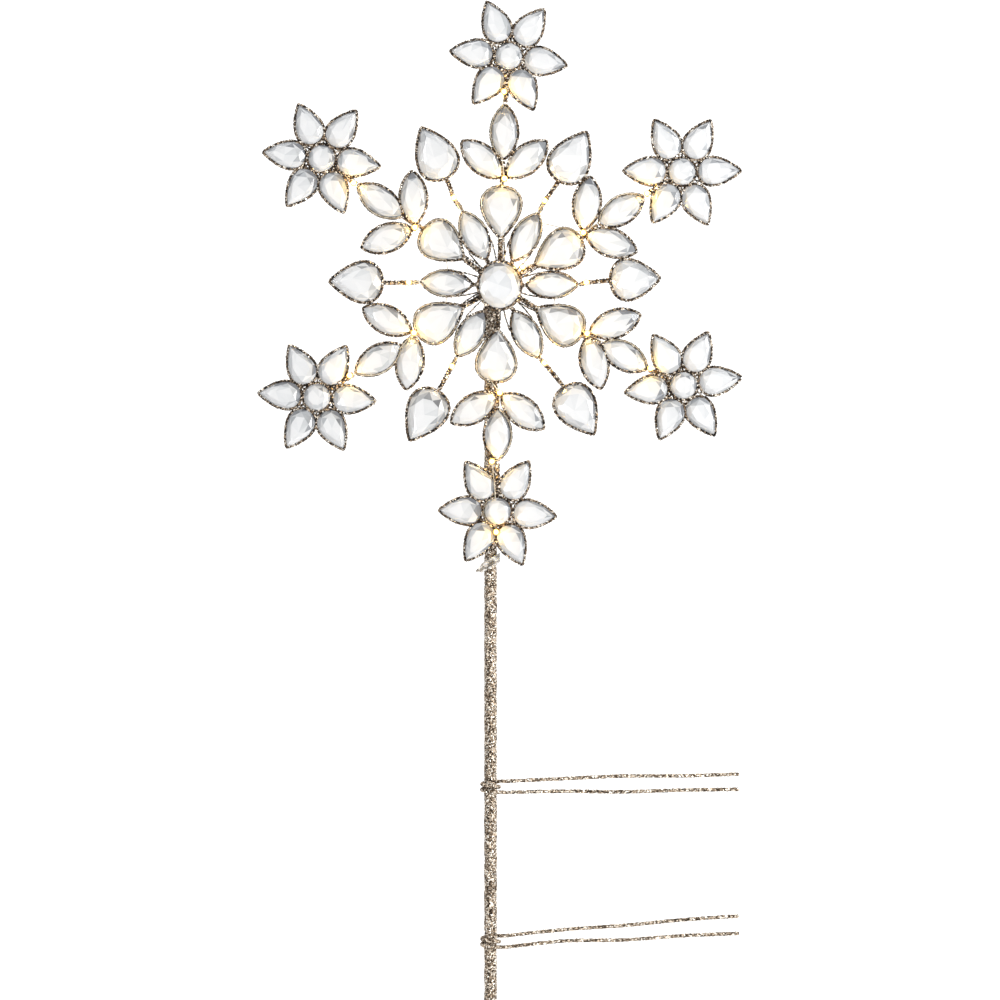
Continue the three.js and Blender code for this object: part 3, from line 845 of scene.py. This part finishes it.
def add_string():
    string = Solid()
    for place in lamp_places():
        add_ball(string, raised(place, BEAD_LEVEL), BEAD_RADIUS, BEAD_STRETCH)
    beads = len(string.faces)
    arms, spokes = list(ARMS.values()), list(SPOKES.values())
    runs = []
    for i, arm in enumerate(arms):
        hub, spoke = polar(*arm["hub"]), spokes[(i + 1) % 6]
        start, end = ends(arm["end_span"], arm["end_heading"])
        runs.append([hub, *bezel_side(ARM_MARQUISE, start, end, 1), polar(*arm["lamp"])])
        runs.append(hub_to_spoke(arm, spoke, -1))
        if i < 5:
            runs.append(hub_to_spoke(arms[i + 1], spoke, 1))
    first, low = ARMS["upper_right"], ARMS["bottom"]
    tip, end = ends(first["pear_ends"], first["pear_heading"])
    edge = bezel_side(INNER_PEAR, end, tip, -1)
    runs.append([polar(*first["hub"]), *edge, polar(*CENTRE_LAMP)])
    runs.append([polar(*first["hub"]), polar(*FREE_STRETCH)])
    ring = FLOWER_ROUND["length"] / 2 - FLOWER_ROUND["wall"] / 2
    flower = polar(*low["flower"])
    runs.append([polar(*low["lamp"]), *(flower + polar(ring, h) for h in FLOWER_ROUTE),
                 polar(*LAST_LAMP)])
    for run in runs:
        route = smooth([raised(p, STRING_LEVEL) for p in run], 4)
        string.tube(evenly(route, STRING_STEP), STRING_RADIUS, sides=6)
    string.finishes = [0] * beads + [1] * (len(string.faces) - beads)
    string.build("lamp_beads_and_wire", LAMP, "root", ["lamp_string"])


def add_lamp_lights():
    for i, place in enumerate(lamp_places()):
        light = bpy.data.lights.new(f"lamp_light_{i}", "POINT")
        light.energy, light.color = LAMP_POWER, LAMP_COLOUR
        light.shadow_soft_size = LAMP_SOFTNESS * MM
        holder = bpy.data.objects.new(f"lamp_light_{i}", light)
        holder.location = in_frame(raised(place, BEAD_LEVEL + LAMP_FORWARD))
        bpy.context.scene.collection.objects.link(holder)


# ---- The stem and its ties ----
def add_stem():
    """A wire bundle under tape and glitter, with a low spiral ridge and a grainy skin."""
    stem = Solid(on_stem)
    rings = []
    steps = int(STEM_TOP / GRAIN)
    for i in range(steps + 1):
        height = STEM_TOP * i / steps
        close = min(height, STEM_TOP - height)
        edge = 1 - STEM_BEVEL + STEM_BEVEL * min(1, close / STEM_BEVEL_LENGTH)
        ring = []
        for s in range(STEM_SIDES):
            turn = math.tau * s / STEM_SIDES
            ridge = STEM_RIDGE * math.cos(turn - height / STEM_RIDGE_RISE)
            wave = STEM_WAVE * noise.noise(
                Vector((math.cos(turn), math.sin(turn), height / STEM_WAVE_RISE)))
            reach = STEM_RADIUS * edge + GLITTER_DEPTH + (ridge + wave)
            ring.append(Vector((reach * math.cos(turn), reach * math.sin(turn), height)))
        rings.append(ring)
    stem.rings(rings, rough=0.26)
    middle = CENTRE / MM
    turns = [math.tau * s / CORE_SIDES for s in range(CORE_SIDES)]
    core = [[Vector((middle.x + radius * math.cos(turn), depth,
                     middle.z + radius * math.sin(turn))) for turn in turns]
            for depth, radius in CORE_RINGS]
    stem.rings(core, rough=0.3)
    stem.build("stem_rod", [STEM_GLITTER], "root", ["stem"])


def ridged(half, back, front, ridges=4, samples=17):
    """A strip's section: flat behind, with ridges along its front."""
    section = [(back, -half), (back, half)]
    for i in range(samples):
        share = i / (samples - 1)
        swell = STRAP_RIDGE * abs(math.sin(math.pi * ridges * share))
        section.append((front + swell, half - 2 * half * share))
    return section


def add_strap():
    """A clear ridged band leaning up to the right round the stem, with its tail."""
    low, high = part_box("cable_tie")
    lean = math.tan(math.radians(STRAP_TILT))
    outside, tip = high.x / MM + STRAP_OVER, low.x / MM
    height = high.z / MM - STRAP_WIDTH / 2 - (outside - STRAP_OVER) * lean
    strap = Solid(on_stem)
    rings = []
    for i in range(STRAP_SIDES):
        turn = math.tau * i / STRAP_SIDES
        out = Vector((math.cos(turn), math.sin(turn), 0))
        rings.append([out * reach + Vector((0, 0, height + reach * out.x * lean + rise))
                      for reach, rise in ridged(STRAP_WIDTH / 2, outside - STRAP_BACK,
                                              outside - STRAP_FRONT)])
    strap.rings(rings, closed=True, rough=0.05)
    tail = []
    for i in range(TAIL_STEPS + 1):
        share = i / TAIL_STEPS
        across = TAIL_START + (tip - TAIL_START) * share
        half = STRAP_WIDTH * (0.5 - TAIL_TAPER * share ** 2)
        tail.append([Vector((across, -reach, height + across * lean + rise))
                     for reach, rise in ridged(half, outside - TAIL_BACK, outside - TAIL_FRONT, 3)])
    strap.rings(tail, rough=0.05)
    strap.build("ribbed_strap", [NYLON], "root", ["cable_tie"])


def add_ties():
    """Each tie is wound round the stem; its two strands turn on small knuckles."""
    hinges = {joint["name"]: Vector(joint["pos_m"]) / MM
              for joint in frame["record"]["behaviour"]["joints"]}
    for tie in ("upper", "lower"):
        low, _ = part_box(f"tie_coil_{tie}")
        radius = -low.x / MM - TIE_RADIUS
        first, last = (hinges[f"bend_{tie}_{strand}"] for strand in ("a", "b"))
        route = []
        for i in range(COIL_LEAD, COIL_STEPS - COIL_LEAD + 1):
            turn, share = COIL_TURNS * math.tau * i / COIL_STEPS, i / COIL_STEPS
            route.append(Vector((radius * math.cos(turn), radius * math.sin(turn),
                                 first.z + (last.z - first.z) * share)))
        wrap = Solid(on_stem)
        wrap.tube(evenly(smooth([first, *route, last], 3), GRAIN), TIE_RADIUS, 9, rough=0.25)
        for hinge in (first, last):
            add_ball(wrap, hinge, TIE_RADIUS * KNUCKLE)
        wrap.build(f"tie_wrap_{tie}", [STEM_GLITTER], "root", [f"tie_coil_{tie}"])
        for strand in ("a", "b"):
            node, hinge = f"tie_strand_{tie}_{strand}", hinges[f"bend_{tie}_{strand}"]
            low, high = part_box(node)
            rises, start, reach = TIE_RISES[tie, strand], low.x / MM, high.x / MM
            points = [Vector((start + (reach - start) * i / 4, 0, hinge.z + rise))
                      for i, rise in enumerate(rises)]
            piece = Solid(on_stem)
            piece.tube(evenly([hinge] + smooth(points, 24), GRAIN), TIE_RADIUS, 9, rough=0.25)
            piece.build(f"tie_wire_{tie}_{strand}", [STEM_GLITTER], f"tie_{tie}_{strand}",
                        [node])


# ---- Studio ----
def add_floor():
    mesh = bpy.data.meshes.new("floor")
    turns = [math.tau * i / FLOOR_SIDES for i in range(FLOOR_SIDES)]
    radius = FLOOR_RADIUS * MM
    ring = [(radius * math.cos(turn), radius * math.sin(turn), FLOOR - FLOOR_GAP * MM)
            for turn in turns]
    mesh.from_pydata(ring, [], [list(range(FLOOR_SIDES))])
    floor = bpy.data.objects.new("floor", mesh)
    made, _, _, shader = material("floor_white")
    shader.inputs["Base Color"].default_value = (0.9, 0.9, 0.9, 1)
    shader.inputs["Roughness"].default_value = 0.6
    mesh.materials.append(made)
    bpy.context.scene.collection.objects.link(floor)


def add_world():
    """White all round, a little dimmer on the left, with a grey patch to the upper right of the
    front and a smaller one to its left, which the stones and the glitter reflect."""
    world = bpy.data.worlds.new("studio")
    bpy.context.scene.world = world
    world.use_nodes = True
    nodes, links = world.node_tree.nodes, world.node_tree.links
    place = nodes.new("ShaderNodeTexCoord")
    shade = None
    for direction, stops in SHADES:
        toward = vector_step(nodes, links, "DOT_PRODUCT", place.outputs["Generated"],
                             Vector(direction).normalized())
        colours = ramp(nodes, [(closeness, tuple(level ** power for power in COOLNESS))
                               for closeness, level in stops])
        links.new(toward.outputs["Value"], colours.inputs["Fac"])
        if shade is None:
            shade = colours.outputs["Color"]
            continue
        both = vector_step(nodes, links, "MULTIPLY", shade)
        links.new(colours.outputs["Color"], both.inputs[1])
        shade = both.outputs["Vector"]
    links.new(shade, nodes["Background"].inputs["Color"])
    nodes["Background"].inputs["Strength"].default_value = STUDIO_BRIGHTNESS


def add_lights():
    for name, place, size, energy in LIGHTS:
        light = bpy.data.lights.new(name, "AREA")
        light.energy, light.size = energy, size
        holder = bpy.data.objects.new(name, light)
        holder.location = place
        aim = Vector(LIGHTS_AIM) - Vector(place)
        holder.rotation_euler = aim.to_track_quat("-Z", "Y").to_euler()
        bpy.context.scene.collection.objects.link(holder)


def add_camera():
    """Straight on and far away, framing the flake and all but the stem's last stretch."""
    data = bpy.data.cameras.new("camera")
    data.lens = LENS
    camera = bpy.data.objects.new("camera", data)
    framed = FRAMED * MM
    camera.location = (CAMERA_SIDE * MM, -framed * LENS / data.sensor_width,
                       cad_high.z - framed / 2 + HEADROOM * MM)
    camera.rotation_euler = (math.pi / 2, 0, 0)
    bpy.context.scene.collection.objects.link(camera)
    bpy.context.scene.camera = camera


add_camera()
add_world()
add_lights()
add_floor()
add_stem()
add_centre()
for arm_name, arm_sizes in ARMS.items():
    add_arm(arm_name, arm_sizes)
for spoke_name, spoke_sizes in SPOKES.items():
    add_spoke(spoke_name, spoke_sizes)
add_string()
add_lamp_lights()
add_strap()
add_ties()
bpy.context.scene.view_settings.view_transform = "Standard"
